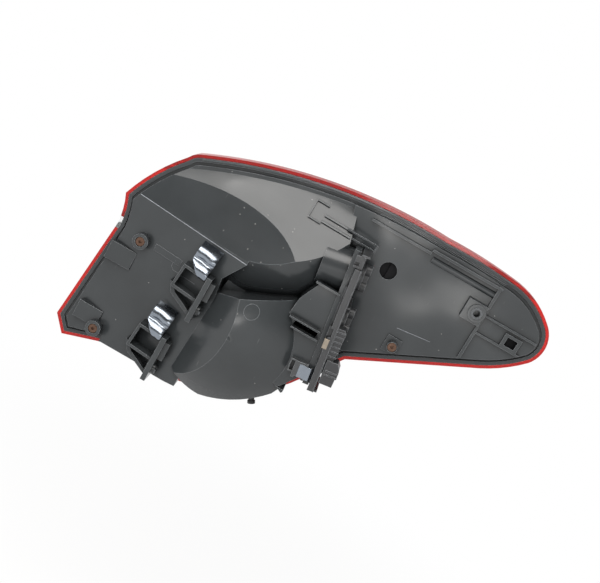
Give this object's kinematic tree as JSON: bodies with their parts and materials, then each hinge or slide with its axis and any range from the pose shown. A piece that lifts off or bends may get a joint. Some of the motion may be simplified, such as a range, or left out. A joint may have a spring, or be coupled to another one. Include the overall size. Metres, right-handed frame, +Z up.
{
  "type": "tail light cluster",
  "caption": "Rear lamp cluster for a car's left side: red lens, dark moulded back with two chambers, bulb carrier, spring-clip brackets and a wing with a fixing tower",
  "frame": {"origin": "centre of the mouth of the steel bush in the tower on the wing, where the lamp is pinned to the body", "axes": "+Z up on the car, +Y rearwards out of the mounting side, so the lens looks along -Y; the wing tip lies towards -X"},
  "size_m": [0.4426, 0.123, 0.2827],
  "materials": {
    "housing_plastic": "moulded dark grey plastic, semi-gloss, polished on the upper bulge",
    "lens_red": "clear red lens plastic, polished",
    "lens_clear": "water-clear lens plastic, polished",
    "sealant": "cured black sealant, satin",
    "metallised": "vacuum-metallised plastic, mirror bright",
    "reflex_red": "red reflex plastic with prisms",
    "bezel_plastic": "dark grey moulded plastic, satin",
    "carrier_plastic": "dark grey glass-filled plastic, satin",
    "foam_rubber": "black cellular rubber, matt",
    "brass_strip": "stamped brass strip, dull",
    "latch_plastic": "grey moulded plastic, satin",
    "spring_steel": "bright rolled spring steel",
    "holder_plastic": "black moulded plastic, satin",
    "bulb_glass": "clear bulb glass over a plain base",
    "pin_brass": "tinned brass pins",
    "bush_steel": "turned steel, zinc plated",
    "screw_steel": "phosphated steel with brown tint",
    "vent_rubber": "black rubber, satin"
  },
  "bodies": {
    "root": {"housing": "housing_plastic", "outer_lens": "lens_red", "lens_clear_band": "lens_clear", "lens_seal": "sealant", "reflector": "metallised", "wing_reflex": "reflex_red", "inner_bezel": "bezel_plastic", "bulb_carrier": "carrier_plastic", "carrier_gasket": "foam_rubber", "contact_track": "brass_strip", "carrier_latch": "latch_plastic", "latch_spring": "spring_steel", "turn_bulb_holder": "holder_plastic", "fog_bulb_holder": "holder_plastic", "stop_bulb_holder": "holder_plastic", "turn_bulb": "bulb_glass", "fog_bulb": "bulb_glass", "stop_bulb": "bulb_glass", "connector_shell": "holder_plastic", "connector_pins": "pin_brass", "upper_spring_clip": "spring_steel", "lower_spring_clip": "spring_steel", "upper_clip_pin": "bush_steel", "lower_clip_pin": "bush_steel", "housing_screws": "screw_steel", "tower_bush": "bush_steel", "vent_elbow": "vent_rubber"}
  },
  "joints": []
}
